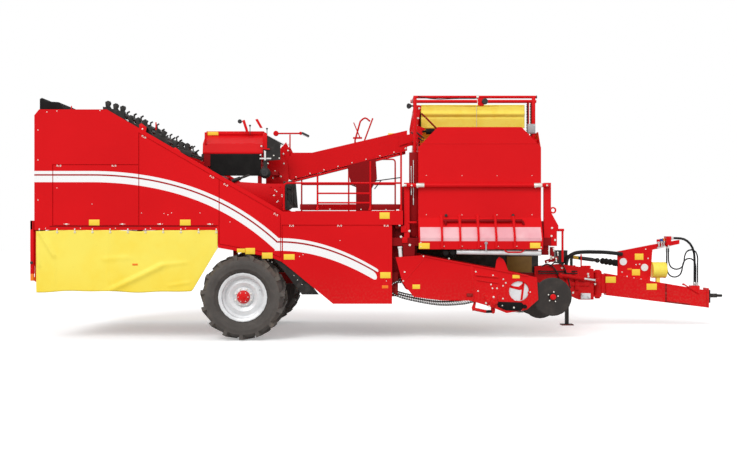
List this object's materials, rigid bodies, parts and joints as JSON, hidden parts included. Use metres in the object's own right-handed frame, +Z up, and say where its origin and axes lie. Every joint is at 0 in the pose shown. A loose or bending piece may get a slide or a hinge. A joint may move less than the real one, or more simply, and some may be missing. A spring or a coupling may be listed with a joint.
{
  "type": "potato harvester",
  "caption": "Trailed potato harvester with side intake, disc coulters, rod webs, rear cleaning body with doors, filling elevator, bunker with unloader, steered drawbar and jack.",
  "frame": {"origin": "on the ground below the middle of the machine's outline", "axes": "+X forwards to the towing eye, +Y to the machine's left, +Z up"},
  "size_m": [11.06, 3.3, 3.7479],
  "materials": {
    "red": "gloss",
    "dark_red": "satin",
    "black_rubber": "matte",
    "black_steel": "satin",
    "steel": "satin",
    "rim_silver": "satin",
    "tyre": "matte",
    "tarp_yellow": "matte",
    "belt_yellow": "satin"
  },
  "bodies": {
    "machine": {"axle": "dark_red", "bunker_floor": "belt_yellow", "bunker_shell": "red", "bunker_side_frame": "red", "bunker_top_frame": "red", "bunker_wall_right": "red", "chassis_frame": "dark_red", "elevator_belt": "black_rubber", "filling_elevator": "red", "front_frame": "red", "haulm_strippers": "black_steel", "hood_curtain": "black_rubber", "hood_drive": "black_steel", "hose_bundle": "black_rubber", "ladder": "dark_red", "main_web": "black_steel", "picking_belt": "black_rubber", "platform": "dark_red", "pto_shaft": "black_steel", "rails_left": "red", "rails_right": "red", "rear_lamp_bar": "red", "rear_wall": "red", "rubber_deflector": "black_rubber", "side_panel_left": "red", "side_panel_right": "red", "spine": "dark_red", "tarp_skirt": "tarp_yellow", "transfer_frame": "dark_red", "transfer_hood": "red", "waste_chute": "dark_red", "web_channel": "dark_red"},
    "wheel_right": {"tyre_right": "tyre", "rim_right": "rim_silver", "hub_right": "red"},
    "wheel_left": {"tyre_left": "tyre", "rim_left": "rim_silver", "hub_left": "red"},
    "rear_door": {"door_rear": "red"},
    "mid_door": {"door_mid": "red"},
    "front_door": {"door_front": "red"},
    "lower_door": {"door_lower": "red"},
    "elevator_head_body": {"elevator_head": "red"},
    "unloader": {"unloader_belt": "belt_yellow", "unloader_frame": "red"},
    "intake": {"intake_trough": "red", "intake_web": "black_steel", "share": "steel"},
    "disc_right": {"coulter_right": "black_steel"},
    "disc_middle": {"coulter_middle": "black_steel"},
    "disc_left": {"coulter_left": "black_steel"},
    "jack": {"jack_leg": "dark_red"},
    "drawbar_body": {"drawbar": "red", "hitch_eye": "black_steel", "hose_stand": "red", "pto_bellows": "black_rubber", "pto_guard": "belt_yellow", "hose_front_bundle": "black_rubber", "hose_front_upper": "black_rubber", "hose_front_lower": "black_rubber"}
  },
  "joints": [
    {"name": "wheel_right", "type": "hinge", "parent": "machine", "child": "wheel_right", "pos_m": [-2.36, -1.35, 0.64], "axis": [0, 1, 0], "continuous": true},
    {"name": "wheel_left", "type": "hinge", "parent": "machine", "child": "wheel_left", "pos_m": [-2.36, 1.295, 0.68], "axis": [0, 1, 0], "continuous": true},
    {"name": "rear_door", "type": "hinge", "parent": "machine", "child": "rear_door", "pos_m": [-4.553, -1.5, 2.598], "axis": [-1, 0, 0], "range_deg": [0, 70]},
    {"name": "mid_door", "type": "hinge", "parent": "machine", "child": "mid_door", "pos_m": [-3.908, -1.5, 3.0644], "axis": [-0.8651, 0, 0.5016], "range_deg": [0, 70]},
    {"name": "front_door", "type": "hinge", "parent": "machine", "child": "front_door", "pos_m": [-2.715, -1.5, 2.3726], "axis": [-0.8651, 0, 0.5016], "range_deg": [0, 70]},
    {"name": "lower_door", "type": "hinge", "parent": "machine", "child": "lower_door", "pos_m": [-0.963, -1.5, 1.694], "axis": [-1, 0, 0], "range_deg": [0, 70]},
    {"name": "elevator_head", "type": "hinge", "parent": "machine", "child": "elevator_head_body", "pos_m": [0.236, -0.225, 3.116], "axis": [0, 1, 0], "range_deg": [0, 100]},
    {"name": "unloader", "type": "hinge", "parent": "machine", "child": "unloader", "pos_m": [1.18, 1.5, 2.98], "axis": [-1, 0, 0], "range_deg": [0, 125]},
    {"name": "intake", "type": "hinge", "parent": "machine", "child": "intake", "pos_m": [0.1, -0.7, 0.95], "axis": [0, 1, 0], "range_deg": [-2, 12]},
    {"name": "disc_right", "type": "hinge", "parent": "intake", "child": "disc_right", "pos_m": [2.243, -1.44, 0.639], "axis": [0, 1, 0], "continuous": true},
    {"name": "disc_middle", "type": "hinge", "parent": "intake", "child": "disc_middle", "pos_m": [2.18, -0.7, 0.525], "axis": [0, 1, 0], "continuous": true},
    {"name": "disc_left", "type": "hinge", "parent": "intake", "child": "disc_left", "pos_m": [2.18, 0.05, 0.525], "axis": [0, 1, 0], "continuous": true},
    {"name": "jack", "type": "slide", "parent": "machine", "child": "jack", "axis": [0, 0, 1], "range_m": [0, 0.3]},
    {"name": "drawbar", "type": "hinge", "parent": "machine", "child": "drawbar_body", "pos_m": [3.4, 0.7, 0.7], "axis": [0, 0, 1], "range_deg": [-20, 20], "deforming": ["hose_bundle"]}
  ]
}
